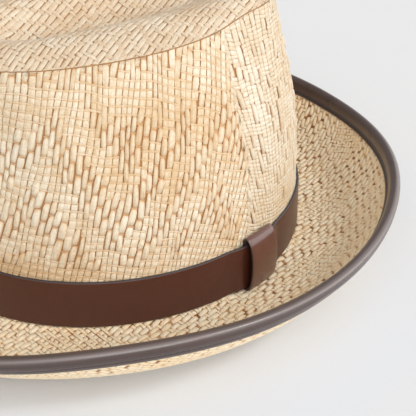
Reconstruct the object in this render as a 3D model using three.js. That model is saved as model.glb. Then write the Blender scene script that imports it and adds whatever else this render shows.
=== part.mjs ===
// A straw fedora with a leather band, standing on its brim.
// Lengths are in millimetres. +Z is up, the front of the hat faces -Y, and the wearer's left is +X.
// "phi" is the direction round the hat in degrees, 0 at the front, 90 at the wearer's left, 180 at the back.
// "out" is a distance outward from the straw at the foot of the crown, level and square to the head oval.

import * as THREE from 'three';

// ---------------------------------------------------------------- driving sizes

const STRAW = 1.8;             // straw wall
const LEATHER_BAND = 1.4;      // leather of the band
const LEATHER_KEEPER = 1.1;    // leather of the loop on the band
const LEATHER_BINDING = 1.1;   // leather folded over the rim
const GAP = 0.3;               // clearance between pieces

const HEAD_FRONT_BACK = 100.3; // half length of the head oval, outside of the straw
const HEAD_SIDE = 83.1;        // half width of the same oval
const CENTRE_SHIFT_Y = 5.3664;   // moves the hat so that the middle of its length is at y = 0

const BAND_FOOT = 3.5;         // foot of the band and of the crown wall above the table
const BAND_HEIGHT = 24.1;
const BAND_LEAN = { frontBack: 1.6, side: 1.9 }; // how far the crown leans in over the height of the band

const CREASE = { halfLength: 88.5, halfWidth: 49.0, centreY: -6.4, up: 119.0, slope: 0.04 };
const PINCH = { phi: 30, up: 84, depth: 7.0, spreadPhi: 17, spreadUp: 30 };
const CREST_AT = 0.6;          // where the crest lies between the spine of the dent (0) and the crease (1)
const SPINE = { centreY: -4, halfLength: 42 };
const DENT = { depth: 13.0, endRise: 0.25, sharpness: 0.25 };

const BREAK_RISE = 1.2;        // the brim swells up a little where it meets the crown
const BREAK_WIDTH = 6.0;
const BINDING_WIDTH = 6.9;     // how far the binding reaches in from the edge of the straw

const KEEPER = { phi: 107, halfWidthPhi: 5.4, liftSpreadPhi: 9 };

const COLUMNS = 60;            // divisions round the hat
const FINE = { from: 96, to: 120, parts: 2 }; // finer divisions beside the keeper

// Small changes to the oval of the crease: inward (-) or outward (+), square to the oval.
const OUTLINE = [
  { phi: 0, shift: 0.0 },
  { phi: 30, shift: -1.6 },
  { phi: 60, shift: -2.4 },
  { phi: 90, shift: -0.4 },
  { phi: 105, shift: -0.2 },
  { phi: 125, shift: -2.4 },
  { phi: 142, shift: 1.0 },
  { phi: 180, shift: 0.0 },
];

// Swell of the crown wall between the top of the band (share 0) and the crease (share 1).
const SWELL = [
  { share: 0.0, out: 0.0 },
  { share: 0.25, out: 3.1 },
  { share: 0.5, out: 4.1 },
  { share: 0.75, out: 2.1 },
  { share: 1.0, out: 0.0 },
];

// The facet between the crease and the crest: how far in the crest lies, and how far above the crease.
const CREST = [
  { phi: 0, inset: 24, lift: 4.0 },
  { phi: 30, inset: 17, lift: 5.5 },
  { phi: 60, inset: 20, lift: 5.8 },
  { phi: 90, inset: 20.5, lift: 5.8 },
  { phi: 115, inset: 14, lift: 5.0 },
  { phi: 140, inset: 11, lift: 3.8 },
  { phi: 180, inset: 13, lift: 3.0 },
];

// The brim: flat beside the crown, then one round curl up to the rim.
// reach is the plan distance from the crown to the rim, rise the height of the rim over the flat,
// and slope the angle of the straw at the rim.
const BRIM = [
  { phi: 0, reach: 58.0, rise: 16.0, slope: 46 },
  { phi: 30, reach: 57.4, rise: 25.0, slope: 66 },
  { phi: 60, reach: 54.4, rise: 34.2, slope: 79 },
  { phi: 90, reach: 52.3, rise: 34.1, slope: 77 },
  { phi: 120, reach: 49.0, rise: 32.5, slope: 70.5 },
  { phi: 150, reach: 48.4, rise: 33.9, slope: 77 },
  { phi: 180, reach: 47.0, rise: 32.0, slope: 86 },
];

// Middle line of the keeper's leather, seen along the band: out from the crown wall, up from the table.
const KEEPER_LOOP = [
  { out: 0.95, up: 3.2 },
  { out: 1.5, up: 2.65 },
  { out: 3.6, up: 2.65 },
  { out: 4.7, up: 3.4 },
  { out: 5.2, up: 6.5 },
  { out: 5.5, up: 15.5 },
  { out: 5.3, up: 24.0 },
  { out: 4.6, up: 28.6 },
  { out: 3.3, up: 30.6 },
  { out: 2.0, up: 31.0 },
  { out: 1.1, up: 30.0 },
  { out: 0.9, up: 27.5 },
  { out: 0.9, up: 15.5 },
];

// ---------------------------------------------------------------- reading the tables

// Smooth curve through (x, y) pairs, level with its neighbours at each pair.
function curveAt(xs, ys, x) {
  const last = xs.length - 1;
  const tangent = (i) => {
    const a = Math.max(i - 1, 0);
    const b = Math.min(i + 1, last);
    return (ys[b] - ys[a]) / (xs[b] - xs[a]);
  };
  let i = 0;
  while (i < last - 1 && x > xs[i + 1]) i += 1;
  const h = xs[i + 1] - xs[i];
  const u = (x - xs[i]) / h;
  const u2 = u * u;
  const u3 = u2 * u;
  return (2 * u3 - 3 * u2 + 1) * ys[i] + (u3 - 2 * u2 + u) * h * tangent(i)
    + (3 * u2 - 2 * u3) * ys[i + 1] + (u3 - u2) * h * tangent(i + 1);
}

// A table that runs from the front to the back reads the same on both sides of the hat.
function round(table, column, phi) {
  const p = Math.abs(((phi + 180) % 360 + 360) % 360 - 180);
  const n = table.length;
  const xs = [-table[1].phi, ...table.map((r) => r.phi), 360 - table[n - 2].phi];
  const ys = [table[1][column], ...table.map((r) => r[column]), table[n - 2][column]];
  return curveAt(xs, ys, p);
}

const SWELL_SHARES = SWELL.map((r) => r.share);
const SWELL_OUTS = SWELL.map((r) => r.out);

const clamp = (v, a, b) => Math.min(Math.max(v, a), b);
const mix = (a, b, t) => a + (b - a) * t;
const ease = (t) => t * t * (3 - 2 * t);
const rad = THREE.MathUtils.degToRad;
const fromFront = (phi) => Math.abs(((phi + 180) % 360 + 360) % 360 - 180);

// Level direction square to an oval.
function outward(phi, halfLength, halfWidth) {
  const x = Math.sin(rad(phi)) / halfWidth;
  const y = -Math.cos(rad(phi)) / halfLength;
  const l = Math.hypot(x, y);
  return [x / l, y / l];
}

// ---------------------------------------------------------------- the crown's outer surface

// Wall of the crown: share 0 at its foot, 1 at the crease.
function wall(phi, share) {
  const atBand = BAND_HEIGHT / CREASE.up;
  const low = clamp(share / atBand, 0, 1);
  const high = clamp((share - atBand) / (1 - atBand), 0, 1);
  const halfLength = share < atBand
    ? HEAD_FRONT_BACK - BAND_LEAN.frontBack * low
    : mix(HEAD_FRONT_BACK - BAND_LEAN.frontBack, CREASE.halfLength, high);
  const halfWidth = share < atBand
    ? HEAD_SIDE - BAND_LEAN.side * low
    : mix(HEAD_SIDE - BAND_LEAN.side, CREASE.halfWidth, high);
  const p = rad(phi);
  let x = halfWidth * Math.sin(p);
  let y = CREASE.centreY * high - halfLength * Math.cos(p);
  const z = BAND_FOOT + share * (CREASE.up + CREASE.slope * y);
  const n = outward(phi, halfLength, halfWidth);
  const level = BAND_FOOT + share * CREASE.up;
  const pinch = PINCH.depth
    * Math.exp(-(((fromFront(phi) - PINCH.phi) / PINCH.spreadPhi) ** 2) - (((level - PINCH.up) / PINCH.spreadUp) ** 2))
    * clamp((share - atBand) / 0.2, 0, 1);
  const out = curveAt(SWELL_SHARES, SWELL_OUTS, high) + round(OUTLINE, 'shift', phi) * high * high - pinch;
  x += n[0] * out;
  y += n[1] * out;
  return new THREE.Vector3(x, y, z);
}

// Top of the crown: share 1 at the crease, CREST_AT at the crest, 0 on the spine of the dent.
function crownTop(phi, share) {
  const crease = wall(phi, 1);
  const cosPhi = Math.cos(rad(phi));
  const spineY = SPINE.centreY - SPINE.halfLength * cosPhi;
  const dx = -crease.x;
  const dy = spineY - crease.y;
  const length = Math.hypot(dx, dy);
  const lift = round(CREST, 'lift', phi);
  const inset = Math.min(round(CREST, 'inset', phi), 0.85 * length);
  const crestX = crease.x + (dx / length) * inset;
  const crestY = crease.y + (dy / length) * inset;
  const crestZ = crease.z + lift;
  if (share >= CREST_AT) {
    const f = (1 - share) / (1 - CREST_AT);
    return new THREE.Vector3(mix(crease.x, crestX, f), mix(crease.y, crestY, f), crease.z + lift * Math.sin(f * Math.PI / 2));
  }
  const g = share / CREST_AT;
  const spineZ = BAND_FOOT + CREASE.up + CREASE.slope * spineY + lift - DENT.depth * (1 - DENT.endRise * Math.abs(cosPhi));
  const rise = (1 - DENT.sharpness) * Math.sin(g * Math.PI / 2) ** 2 + DENT.sharpness * g;
  return new THREE.Vector3(crestX * g, mix(spineY, crestY, g), mix(spineZ, crestZ, rise));
}

// ---------------------------------------------------------------- the brim's upper surface

function brimShape(phi) {
  const reach = round(BRIM, 'reach', phi);
  const rise = round(BRIM, 'rise', phi);
  const slope = rad(round(BRIM, 'slope', phi));
  const flat = reach - rise / Math.tan(slope / 2);
  const radius = rise / (1 - Math.cos(slope));
  return { flat, radius, slope, length: flat + radius * slope };
}

const keeperNear = (phi) => Math.exp(-(((phi - KEEPER.phi) / KEEPER.liftSpreadPhi) ** 6));

// A point on the brim: along is the distance over the straw from the crown,
// and above the distance from the upper surface, square to it.
function brimPoint(phi, along, above) {
  const s = brimShape(phi);
  const a = Math.max(along - s.flat, 0) / s.radius;
  const beyond = Math.max(along - s.length, 0);
  const turn = Math.min(a, s.slope);
  let out = (along < s.flat ? along : s.flat + s.radius * Math.sin(turn)) - above * Math.sin(turn);
  let up = STRAW + (along < s.flat ? 0 : s.radius * (1 - Math.cos(turn))) + above * Math.cos(turn);
  out += beyond * Math.cos(turn);
  up += beyond * Math.sin(turn);
  return footPoint(phi, out, up);
}

function footPoint(phi, out, up) {
  const n = outward(phi, HEAD_FRONT_BACK, HEAD_SIDE);
  return new THREE.Vector3(
    HEAD_SIDE * Math.sin(rad(phi)) + n[0] * out,
    -HEAD_FRONT_BACK * Math.cos(rad(phi)) + n[1] * out,
    up,
  );
}

const breakRise = (phi, out) => BREAK_RISE * (1 - ease(clamp(out / BREAK_WIDTH, 0, 1))) * (1 - keeperNear(phi));

// ---------------------------------------------------------------- meshes

// Directions of the columns, the same for each piece that goes round the hat, and the same on both sides.
function columnAngles() {
  const step = 360 / COLUMNS;
  const angles = [];
  for (let i = 0; i < COLUMNS; i += 1) {
    const phi = i * step;
    const side = fromFront(phi + step / 2);
    const parts = side > FINE.from && side < FINE.to ? FINE.parts : 1;
    for (let k = 0; k < parts; k += 1) angles.push(phi + (step * k) / parts);
  }
  return angles;
}

const PHIS = columnAngles();

function geometryFrom(points, triangles) {
  const g = new THREE.BufferGeometry();
  const xyz = new Float32Array(points.length * 3);
  points.forEach((p, i) => xyz.set([p.x, p.y, p.z], i * 3));
  g.setAttribute('position', new THREE.BufferAttribute(xyz, 3));
  g.setIndex(triangles);
  g.computeVertexNormals();
  return g;
}

// A ring: the same closed section at each column, its points anticlockwise with "out" to the right and "up" above.
function ring(sectionAt, phis) {
  const points = [];
  const triangles = [];
  const n = phis.length;
  let m = 0;
  phis.forEach((phi) => {
    const section = sectionAt(phi);
    m = section.length;
    points.push(...section);
  });
  for (let i = 0; i < n; i += 1) {
    const j = (i + 1) % n;
    for (let k = 0; k < m; k += 1) {
      const l = (k + 1) % m;
      triangles.push(i * m + k, j * m + k, j * m + l, i * m + k, j * m + l, i * m + l);
    }
  }
  return geometryFrom(points, triangles);
}

// The crown: its outer surface, and the same moved in by the straw's thickness, joined round the foot.
function crownGeometry() {
  const wallShares = [0, 0.1, 0.2025, 0.35, 0.52, 0.68, 0.84, 1];
  const topShares = [0.8, 0.6, 0.45, 0.28, 0.12];
  const rows = [
    ...wallShares.map((s) => (phi) => wall(phi, s)),
    ...topShares.map((s) => (phi) => crownTop(phi, s)),
  ];
  const n = PHIS.length;
  const half = n / 2;
  const outer = [];
  rows.forEach((row) => PHIS.forEach((phi) => outer.push(row(phi))));
  for (let i = 0; i <= half; i += 1) outer.push(crownTop(PHIS[i % n], 0).setX(0));
  const spine = (i) => rows.length * n + Math.min(i % n, n - (i % n));

  const skin = [];
  for (let r = 0; r < rows.length; r += 1) {
    for (let i = 0; i < n; i += 1) {
      const j = (i + 1) % n;
      const a = r * n + i;
      const b = r * n + j;
      const c = r + 1 < rows.length ? (r + 1) * n + j : spine(j);
      const d = r + 1 < rows.length ? (r + 1) * n + i : spine(i);
      skin.push(a, b, c);
      if (c !== d) skin.push(a, c, d);
    }
  }
  const normals = geometryFrom(outer, skin).getAttribute('normal');
  const inner = outer.map((p, i) => {
    const q = p.clone().addScaledVector(new THREE.Vector3().fromBufferAttribute(normals, i), -STRAW);
    if (i < n) q.z = p.z;
    if (i >= rows.length * n) q.x = 0;
    return q;
  });

  const base = outer.length;
  const triangles = [...skin];
  for (let t = 0; t < skin.length; t += 3) triangles.push(base + skin[t], base + skin[t + 2], base + skin[t + 1]);
  for (let i = 0; i < n; i += 1) {
    const j = (i + 1) % n;
    triangles.push(i, base + i, base + j, i, base + j, j);
  }
  return geometryFrom([...outer, ...inner], triangles);
}

// The brim: its underside from the crown to the rim, then back over its upper side.
function brimSection(phi) {
  const s = brimShape(phi);
  const curl = [0, 0.16, 0.33, 0.5, 0.67, 0.84, 1];
  const section = [footPoint(phi, -STRAW, 0)];
  curl.forEach((t) => section.push(brimPoint(phi, s.flat + s.radius * s.slope * t, -STRAW)));
  curl.slice().reverse().forEach((t) => section.push(brimPoint(phi, s.flat + s.radius * s.slope * t, 0)));
  [6, 4, 2, 0, -STRAW].forEach((out) => section.push(footPoint(phi, out, STRAW + breakRise(phi, out))));
  return section;
}

// The band stands a little off the crown where the keeper passes behind it.
function bandSection(phi) {
  const lift = GAP + (LEATHER_KEEPER + GAP) * keeperNear(phi);
  const at = (share, out) => {
    const p = wall(phi, share * (BAND_HEIGHT / CREASE.up));
    const n = outward(phi, HEAD_FRONT_BACK, HEAD_SIDE);
    return new THREE.Vector3(p.x + n[0] * out, p.y + n[1] * out, BAND_FOOT + share * BAND_HEIGHT);
  };
  return [
    at(0, lift), at(0, lift + LEATHER_BAND), at(0.5, lift + LEATHER_BAND),
    at(1, lift + LEATHER_BAND), at(1, lift), at(0.5, lift),
  ];
}

// The binding: down the outside, round the edge of the straw and down the inside, with room for the straw between.
function bindingSection(phi) {
  const { length } = brimShape(phi);
  const below = -STRAW - GAP;
  const skinOut = below - LEATHER_BINDING;
  const skinIn = GAP + LEATHER_BINDING;
  const middle = -STRAW / 2;
  const outerRadius = (skinIn - skinOut) / 2;
  const innerRadius = (GAP - below) / 2;
  const section = [];
  const backs = [BINDING_WIDTH, 0];
  backs.forEach((b) => section.push(brimPoint(phi, length - b, skinOut)));
  [-54, -18, 18, 54].forEach((d) => section.push(
    brimPoint(phi, length + outerRadius * Math.cos(rad(d)), middle + outerRadius * Math.sin(rad(d))),
  ));
  backs.slice().reverse().forEach((b) => section.push(brimPoint(phi, length - b, skinIn)));
  backs.forEach((b) => section.push(brimPoint(phi, length - b, GAP)));
  [40, -40].forEach((d) => section.push(
    brimPoint(phi, length + innerRadius * Math.cos(rad(d)), middle + innerRadius * Math.sin(rad(d))),
  ));
  backs.slice().reverse().forEach((b) => section.push(brimPoint(phi, length - b, below)));
  return section;
}

// The keeper: a closed loop of leather round the band, open at both ends of its width.
function keeperGeometry() {
  const steps = 26;
  const across = 4;
  const line = new THREE.CatmullRomCurve3(
    KEEPER_LOOP.map((r) => new THREE.Vector3(r.out, r.up, 0)), true, 'centripetal',
  ).getSpacedPoints(steps).slice(0, steps);
  const edge = (side) => line.map((p, k) => {
    const before = line[(k + steps - 1) % steps];
    const after = line[(k + 1) % steps];
    const t = after.clone().sub(before).normalize();
    return new THREE.Vector2(p.x + t.y * side * LEATHER_KEEPER / 2, p.y - t.x * side * LEATHER_KEEPER / 2);
  });
  const faces = [edge(1), edge(-1)];
  const points = [];
  for (let j = 0; j <= across; j += 1) {
    const phi = KEEPER.phi + KEEPER.halfWidthPhi * ((2 * j) / across - 1);
    const n = outward(phi, HEAD_FRONT_BACK, HEAD_SIDE);
    faces.forEach((face) => face.forEach((q) => {
      const p = wall(phi, clamp((q.y - BAND_FOOT) / CREASE.up, 0, BAND_HEIGHT / CREASE.up));
      points.push(new THREE.Vector3(p.x + n[0] * q.x, p.y + n[1] * q.x, q.y));
    }));
  }
  const at = (j, face, k) => (j * 2 + face) * steps + (k % steps);
  const triangles = [];
  const quad = (a, b, c, d) => triangles.push(a, b, c, a, c, d);
  for (let k = 0; k < steps; k += 1) {
    for (let j = 0; j < across; j += 1) {
      quad(at(j, 0, k), at(j + 1, 0, k), at(j + 1, 0, k + 1), at(j, 0, k + 1));
      quad(at(j, 1, k), at(j, 1, k + 1), at(j + 1, 1, k + 1), at(j + 1, 1, k));
    }
    quad(at(0, 0, k), at(0, 0, k + 1), at(0, 1, k + 1), at(0, 1, k));
    quad(at(across, 0, k), at(across, 1, k), at(across, 1, k + 1), at(across, 0, k + 1));
  }
  return geometryFrom(points, triangles);
}

// ---------------------------------------------------------------- the hat

const finishes = {
  crownStraw: new THREE.MeshStandardMaterial({ color: 0xe3cfa6, roughness: 0.75, metalness: 0 }),
  brimStraw: new THREE.MeshStandardMaterial({ color: 0xd8bd8e, roughness: 0.78, metalness: 0 }),
  bandLeather: new THREE.MeshStandardMaterial({ color: 0x54301f, roughness: 0.45, metalness: 0 }),
  keeperLeather: new THREE.MeshStandardMaterial({ color: 0x5e3626, roughness: 0.42, metalness: 0 }),
  bindingLeather: new THREE.MeshStandardMaterial({ color: 0x4d3f3c, roughness: 0.4, metalness: 0 }),
};

function piece(name, geometry, material) {
  const mesh = new THREE.Mesh(geometry, material);
  mesh.name = name;
  return mesh;
}

const hat = new THREE.Group();
hat.position.set(0, CENTRE_SHIFT_Y, 0);
hat.add(
  piece('straw_crown', crownGeometry(), finishes.crownStraw),
  piece('straw_brim', ring(brimSection, PHIS), finishes.brimStraw),
  piece('hat_band', ring(bandSection, PHIS), finishes.bandLeather),
  piece('band_keeper', keeperGeometry(), finishes.keeperLeather),
  piece('brim_binding', ring(bindingSection, PHIS), finishes.bindingLeather),
);

const part = new THREE.Group();
part.add(hat);

export default part;
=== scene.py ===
import math

import bpy
import numpy as np
from mathutils import Matrix, Vector
from mathutils.bvhtree import BVHTree

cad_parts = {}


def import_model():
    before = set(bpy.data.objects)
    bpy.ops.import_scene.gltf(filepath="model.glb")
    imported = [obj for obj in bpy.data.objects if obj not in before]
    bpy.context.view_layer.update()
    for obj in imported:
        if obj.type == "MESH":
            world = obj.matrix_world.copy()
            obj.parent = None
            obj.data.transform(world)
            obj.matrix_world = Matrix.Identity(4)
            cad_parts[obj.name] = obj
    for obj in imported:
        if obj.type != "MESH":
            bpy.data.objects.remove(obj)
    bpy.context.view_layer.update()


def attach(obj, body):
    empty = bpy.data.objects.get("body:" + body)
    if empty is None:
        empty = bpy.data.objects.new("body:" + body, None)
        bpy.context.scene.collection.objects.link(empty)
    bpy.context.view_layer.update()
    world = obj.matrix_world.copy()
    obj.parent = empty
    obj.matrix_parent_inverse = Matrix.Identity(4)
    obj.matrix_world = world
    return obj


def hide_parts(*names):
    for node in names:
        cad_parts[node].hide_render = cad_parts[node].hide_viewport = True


# A straw fedora with a leather band, a keeper loop and a bound rim.
# Surfaces are worked out in millimetres, in the hat's own frame: +Z up, the front at -Y, the wearer's left at +X,
# and the middle of the head oval at x = 0, y = 0. world() turns them into metres in the row's frame.

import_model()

# ------------------------------------------------------------------ the hat's surfaces, as the CAD has them

CENTRE_SHIFT_Y = 5.3664
STRAW = 1.8
LEATHER_BAND = 1.4
LEATHER_KEEPER = 1.1
LEATHER_BINDING = 1.1
GAP = 0.3
HEAD_FRONT_BACK = 100.3
HEAD_SIDE = 83.1
BAND_FOOT = 3.5
BAND_HEIGHT = 24.1
LEAN_FRONT_BACK = 1.6
LEAN_SIDE = 1.9
CREASE_LENGTH, CREASE_WIDTH, CREASE_Y, CREASE_UP, CREASE_SLOPE = 88.5, 49.0, -6.4, 119.0, 0.04
PINCH_PHI, PINCH_UP, PINCH_DEPTH, PINCH_SPREAD_PHI, PINCH_SPREAD_UP = 30, 84, 7.0, 17, 30
CREST_AT = 0.6
SPINE_Y, SPINE_LENGTH = -4, 42
DENT_DEPTH, DENT_END_RISE, DENT_SHARPNESS = 13.0, 0.25, 0.25
BREAK_RISE, BREAK_WIDTH = 1.2, 6.0
BINDING_WIDTH = 6.9
KEEPER_PHI, KEEPER_HALF_PHI, KEEPER_LIFT_PHI = 107, 5.4, 9

OUTLINE = ([0, 30, 60, 90, 105, 125, 142, 180], [0.0, -1.6, -2.4, -0.4, -0.2, -2.4, 1.0, 0.0])
SWELL = ([0, 0.25, 0.5, 0.75, 1.0], [0.0, 3.1, 4.1, 2.1, 0.0])
CREST_INSET = ([0, 30, 60, 90, 115, 140, 180], [24, 17, 20, 20.5, 14, 11, 13])
CREST_LIFT = ([0, 30, 60, 90, 115, 140, 180], [4.0, 5.5, 5.8, 5.8, 5.0, 3.8, 3.0])
BRIM_REACH = ([0, 30, 60, 90, 120, 150, 180], [58.0, 57.4, 54.4, 52.3, 49.0, 48.4, 47.0])
BRIM_RISE = ([0, 30, 60, 90, 120, 150, 180], [16.0, 25.0, 34.2, 34.1, 32.5, 33.9, 32.0])
BRIM_SLOPE = ([0, 30, 60, 90, 120, 150, 180], [46, 66, 79, 77, 70.5, 77, 86])
KEEPER_LOOP = [
    (0.95, 3.2), (1.5, 2.65), (3.6, 2.65), (4.7, 3.4), (5.2, 6.5), (5.5, 15.5), (5.3, 24.0),
    (4.6, 28.6), (3.3, 30.6), (2.0, 31.0), (1.1, 30.0), (0.9, 27.5), (0.9, 15.5),
]


def curve_at(xs, ys, x):
    xs = np.asarray(xs, float)
    ys = np.asarray(ys, float)
    x = np.asarray(x, float)
    last = len(xs) - 1
    i = np.clip(np.searchsorted(xs, x, side="left") - 1, 0, last - 1)
    tangent = np.array([
        (ys[min(k + 1, last)] - ys[max(k - 1, 0)]) / (xs[min(k + 1, last)] - xs[max(k - 1, 0)])
        for k in range(last + 1)
    ])
    h = xs[i + 1] - xs[i]
    u = (x - xs[i]) / h
    return ((2 * u**3 - 3 * u**2 + 1) * ys[i] + (u**3 - 2 * u**2 + u) * h * tangent[i]
            + (3 * u**2 - 2 * u**3) * ys[i + 1] + (u**3 - u**2) * h * tangent[i + 1])


def around(table, phi):
    xs, ys = table
    p = np.abs((np.asarray(phi, float) + 180) % 360 - 180)
    return curve_at([-xs[1], *xs, 360 - xs[-2]], [ys[1], *ys, ys[-2]], p)


def outward(phi, half_length, half_width):
    x = np.sin(np.radians(phi)) / half_width
    y = -np.cos(np.radians(phi)) / half_length
    length = np.hypot(x, y)
    return x / length, y / length


def wall(phi, share):
    """The crown's side: share 0 at its foot, 1 at the crease."""
    phi, share = np.broadcast_arrays(np.asarray(phi, float), np.asarray(share, float))
    at_band = BAND_HEIGHT / CREASE_UP
    low = np.clip(share / at_band, 0, 1)
    high = np.clip((share - at_band) / (1 - at_band), 0, 1)
    top_length, top_width = HEAD_FRONT_BACK - LEAN_FRONT_BACK, HEAD_SIDE - LEAN_SIDE
    half_length = np.where(share < at_band, HEAD_FRONT_BACK - LEAN_FRONT_BACK * low,
                           top_length + (CREASE_LENGTH - top_length) * high)
    half_width = np.where(share < at_band, HEAD_SIDE - LEAN_SIDE * low,
                          top_width + (CREASE_WIDTH - top_width) * high)
    p = np.radians(phi)
    x = half_width * np.sin(p)
    y = CREASE_Y * high - half_length * np.cos(p)
    z = BAND_FOOT + share * (CREASE_UP + CREASE_SLOPE * y)
    nx, ny = outward(phi, half_length, half_width)
    level = BAND_FOOT + share * CREASE_UP
    side = np.abs((phi + 180) % 360 - 180)
    pinch = (PINCH_DEPTH
             * np.exp(-((side - PINCH_PHI) / PINCH_SPREAD_PHI) ** 2 - ((level - PINCH_UP) / PINCH_SPREAD_UP) ** 2)
             * np.clip((share - at_band) / 0.2, 0, 1))
    out = curve_at(*SWELL, high) + around(OUTLINE, phi) * high * high - pinch
    return np.stack([x + nx * out, y + ny * out, z], -1)


def crown_top(phi, share):
    """The crown's top: share 1 at the crease, CREST_AT at the crest, 0 on the spine of the dent."""
    phi, share = np.broadcast_arrays(np.asarray(phi, float), np.asarray(share, float))
    crease = wall(phi, 1.0)
    cos_phi = np.cos(np.radians(phi))
    spine_y = SPINE_Y - SPINE_LENGTH * cos_phi
    dx, dy = -crease[..., 0], spine_y - crease[..., 1]
    length = np.hypot(dx, dy)
    lift = around(CREST_LIFT, phi)
    inset = np.minimum(around(CREST_INSET, phi), 0.85 * length)
    kx = crease[..., 0] + dx / length * inset
    ky = crease[..., 1] + dy / length * inset
    kz = crease[..., 2] + lift
    f = np.clip((1 - share) / (1 - CREST_AT), 0, 1)
    facet = np.stack([crease[..., 0] + (kx - crease[..., 0]) * f, crease[..., 1] + (ky - crease[..., 1]) * f,
                      crease[..., 2] + lift * np.sin(f * np.pi / 2)], -1)
    g = np.clip(share / CREST_AT, 0, 1)
    spine_z = (BAND_FOOT + CREASE_UP + CREASE_SLOPE * spine_y + lift
               - DENT_DEPTH * (1 - DENT_END_RISE * np.abs(cos_phi)))
    rise = (1 - DENT_SHARPNESS) * np.sin(g * np.pi / 2) ** 2 + DENT_SHARPNESS * g
    dent = np.stack([kx * g, spine_y + (ky - spine_y) * g, spine_z + (kz - spine_z) * rise], -1)
    return np.where((share >= CREST_AT)[..., None], facet, dent)


def brim_shape(phi):
    reach, rise, slope = around(BRIM_REACH, phi), around(BRIM_RISE, phi), np.radians(around(BRIM_SLOPE, phi))
    flat = reach - rise / np.tan(slope / 2)
    radius = rise / (1 - np.cos(slope))
    return flat, radius, slope, flat + radius * slope


def foot_point(phi, out, up):
    nx, ny = outward(phi, HEAD_FRONT_BACK, HEAD_SIDE)
    return np.stack(np.broadcast_arrays(HEAD_SIDE * np.sin(np.radians(phi)) + nx * out,
                                        -HEAD_FRONT_BACK * np.cos(np.radians(phi)) + ny * out, up), -1)


def keeper_near(phi):
    return np.exp(-((((np.asarray(phi, float) + 180) % 360 - 180) - KEEPER_PHI) / KEEPER_LIFT_PHI) ** 6)


def break_rise(phi, out):
    t = np.clip(out / BREAK_WIDTH, 0, 1)
    return BREAK_RISE * (1 - t * t * (3 - 2 * t)) * (1 - keeper_near(phi))


def brim_point(phi, along, above, swell=True):
    """A point on the brim: along is measured over the straw from the crown, above square to its upper side."""
    flat, radius, slope, length = brim_shape(phi)
    a = np.maximum(along - flat, 0) / radius
    beyond = np.maximum(along - length, 0)
    turn = np.minimum(a, slope)
    out = np.where(along < flat, along, flat + radius * np.sin(turn)) - above * np.sin(turn) + beyond * np.cos(turn)
    up = (STRAW + np.where(along < flat, 0, radius * (1 - np.cos(turn))) + above * np.cos(turn)
          + beyond * np.sin(turn))
    if swell:
        up = up + break_rise(phi, np.maximum(along, 0))
    return foot_point(phi, out, up)


def world(points):
    return (np.asarray(points, float) + [0.0, CENTRE_SHIFT_Y, 0.0]) * 0.001


# ------------------------------------------------------------------ meshes

def make_object(name, points, quads, material, smooth=True, uv=None, fields=None, stands_for=()):
    """A mesh object from arrays. quads is n by 4 (a triangle repeats its last corner); uv is one pair a point."""
    points = world(points)
    quads = np.asarray(quads, np.int64)
    # leave out faces with no area, and points that no face uses
    a, b, c, d = (points[quads[:, k]] for k in range(4))
    area = 0.5 * np.linalg.norm(np.cross(c - a, d - b), axis=1)
    quads = quads[area > 2e-9]
    used, quads = np.unique(quads, return_inverse=True)
    quads = quads.reshape(-1, 4)
    points = points[used]
    triangle = quads[:, 2] == quads[:, 3]
    sizes = np.where(triangle, 3, 4)
    starts = np.concatenate([[0], np.cumsum(sizes)[:-1]])
    keep = np.ones(quads.shape, bool)
    keep[:, 3] = ~triangle
    corners = quads[keep]
    me = bpy.data.meshes.new(name)
    me.vertices.add(len(points))
    me.vertices.foreach_set("co", points.astype(np.float32).ravel())
    me.loops.add(len(corners))
    me.loops.foreach_set("vertex_index", corners.astype(np.int32))
    me.polygons.add(len(quads))
    me.polygons.foreach_set("loop_start", starts.astype(np.int32))
    me.update(calc_edges=True)
    if uv is not None:
        layer = me.uv_layers.new(name="strand")
        layer.data.foreach_set("uv", np.asarray(uv, np.float32)[used][corners].ravel())
    for key, values in (fields or {}).items():
        attribute = me.attributes.new(key, "FLOAT", "POINT")
        attribute.data.foreach_set("value", np.asarray(values, np.float32)[used])
    me.validate()
    if smooth:
        me.shade_smooth()
    me.materials.append(material)
    ob = bpy.data.objects.new(name, me)
    bpy.context.scene.collection.objects.link(ob)
    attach(ob, "root")
    for node in stands_for:
        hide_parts(node)
    return ob


def grid_quads(rows, columns, close_columns=False, close_rows=False, base=0, flip=False):
    """Quads over points numbered row * columns + column."""
    r = np.arange(rows if close_rows else rows - 1)
    c = np.arange(columns if close_columns else columns - 1)
    r, c = np.meshgrid(r, c, indexing="ij")
    r2, c2 = (r + 1) % rows, (c + 1) % columns
    q = np.stack([r * columns + c, r * columns + c2, r2 * columns + c2, r2 * columns + c], -1).reshape(-1, 4) + base
    return q[:, ::-1] if flip else q


# ------------------------------------------------------------------ materials

def nodes_of(name):
    m = bpy.data.materials.new(name)
    m.use_nodes = True
    tree = m.node_tree
    tree.nodes.clear()
    output = tree.nodes.new("ShaderNodeOutputMaterial")
    shader = tree.nodes.new("ShaderNodeBsdfPrincipled")
    tree.links.new(shader.outputs["BSDF"], output.inputs["Surface"])
    return m, tree, shader


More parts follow.
